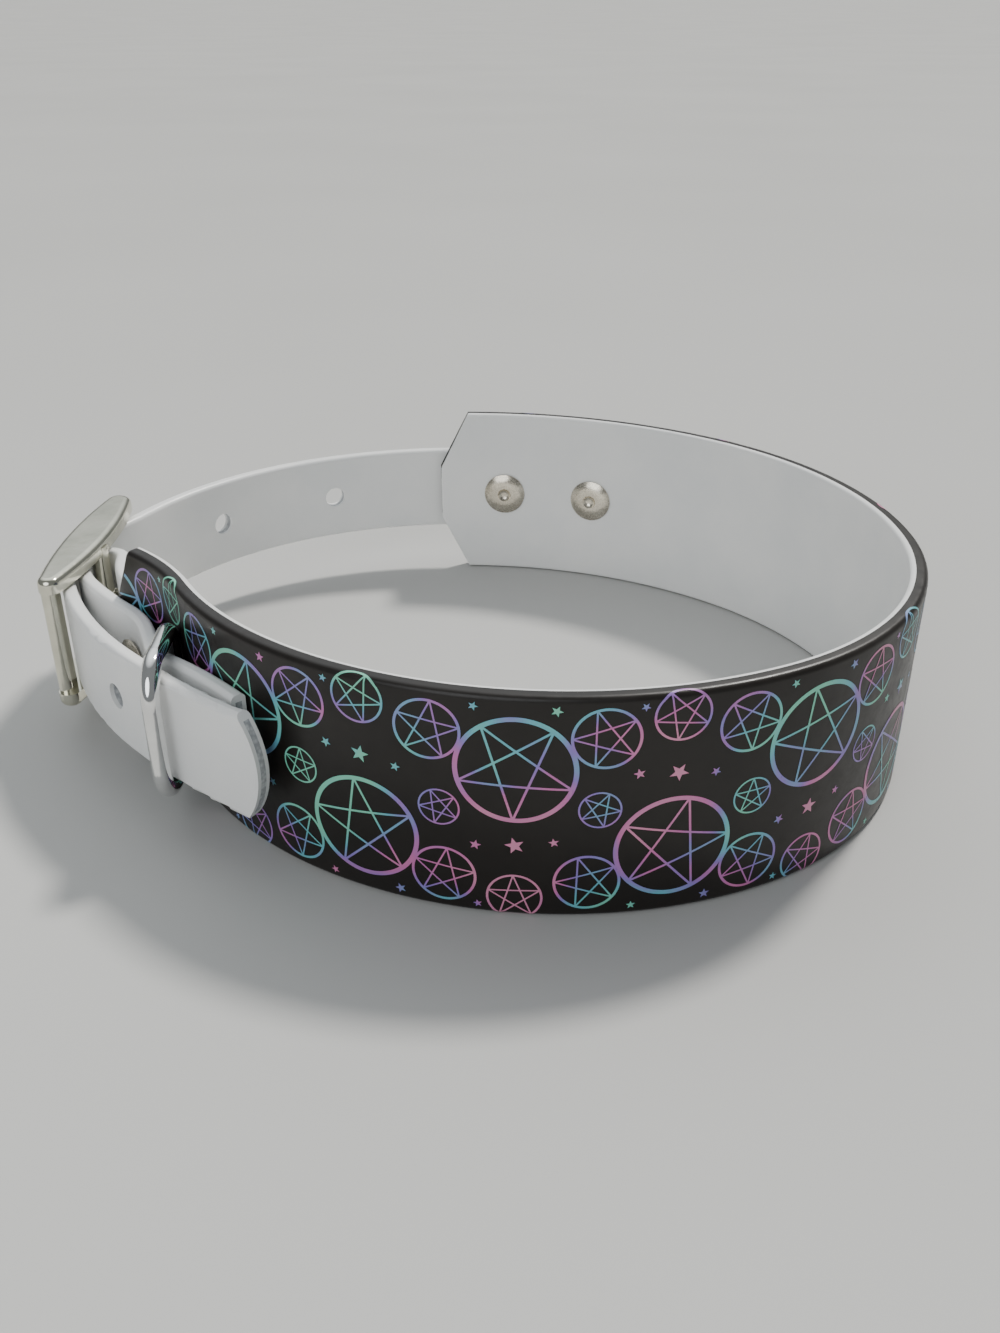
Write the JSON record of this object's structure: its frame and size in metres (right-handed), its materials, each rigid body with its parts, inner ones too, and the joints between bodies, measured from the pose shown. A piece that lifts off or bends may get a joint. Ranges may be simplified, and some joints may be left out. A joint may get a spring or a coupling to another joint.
{
  "type": "dog collar",
  "caption": "Buckled dog collar: a wide printed band with a white liner, a narrower white strap with adjustment holes, a centre-bar buckle, a D-ring and domed rivets.",
  "frame": {"origin": "centre of the overall box in plan, on the plane that the collar's lower edge stands on", "axes": "+Z along the width of the band, from its lower edge to its upper edge; +X across the neck opening, from the buckle towards the far side; +Y from the band's front towards its riveted back end"},
  "size_m": [0.1574, 0.1358, 0.0381],
  "materials": {
    "printed_face": "printed, semi-gloss",
    "white_coating": "smooth semi-gloss coating",
    "webbing": "woven polyester",
    "nickel": "polished nickel plate",
    "rivet_nickel": "nickel plate"
  },
  "bodies": {
    "collar": {"band_face": "printed_face", "band_liner": "white_coating", "hole_strap": "white_coating", "hole_strap_core": "webbing", "chape": "white_coating", "chape_core": "webbing", "back_rivet_1_post": "rivet_nickel", "back_rivet_1_cap": "rivet_nickel", "back_rivet_2_post": "rivet_nickel", "back_rivet_2_cap": "rivet_nickel", "front_rivet_1_post": "rivet_nickel", "front_rivet_1_cap": "rivet_nickel", "front_rivet_2_post": "rivet_nickel", "front_rivet_2_cap": "rivet_nickel"},
    "ring": {"d_ring": "nickel"},
    "frame": {"buckle_frame": "nickel"},
    "prong": {"buckle_prong": "nickel"}
  },
  "joints": [
    {"name": "ring_swing", "type": "hinge", "parent": "collar", "child": "ring", "pos_m": [-0.04941, -0.03225, 0.01905], "axis": [0, 0, 1], "range_deg": [-90, 0]},
    {"name": "buckle_tilt", "type": "hinge", "parent": "collar", "child": "frame", "pos_m": [-0.07092, 0.00226, 0.01905], "axis": [0, 0, 1], "range_deg": [-1.2, 1.2]},
    {"name": "prong_swing", "type": "hinge", "parent": "frame", "child": "prong", "pos_m": [-0.07092, 0.00226, 0.01905], "axis": [0, 0, 1], "range_deg": [0, 4]}
  ]
}
